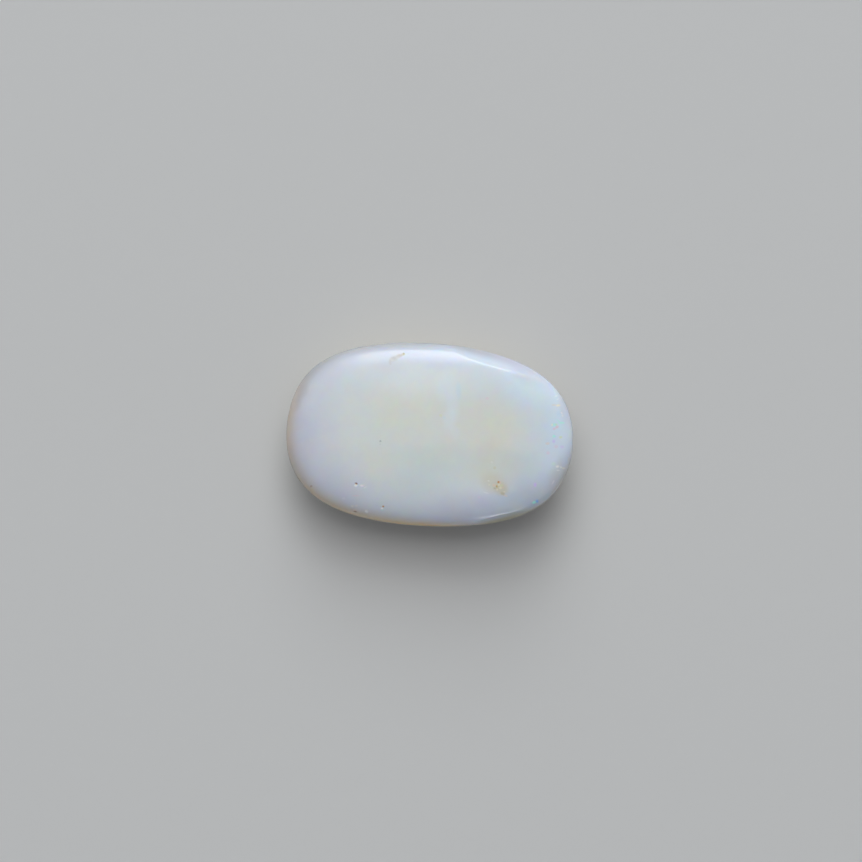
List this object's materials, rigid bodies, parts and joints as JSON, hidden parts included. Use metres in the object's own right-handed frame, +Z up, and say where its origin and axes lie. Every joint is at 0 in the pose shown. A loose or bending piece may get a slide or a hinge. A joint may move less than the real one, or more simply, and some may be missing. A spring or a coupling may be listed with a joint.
{
  "type": "polished opal cabochon",
  "caption": "Polished freeform oval opal tablet with a gently domed face, soft shoulders and a flat ground back to rest on.",
  "frame": {"origin": "middle of the flat back, at the centre of the stone's box", "axes": "+Z up out of the domed face, +X along the length, towards the squarer end"},
  "size_m": [0.018, 0.0116, 0.0048],
  "materials": {
    "opal": "polished"
  },
  "bodies": {
    "root": {"opal": "opal"}
  },
  "joints": []
}
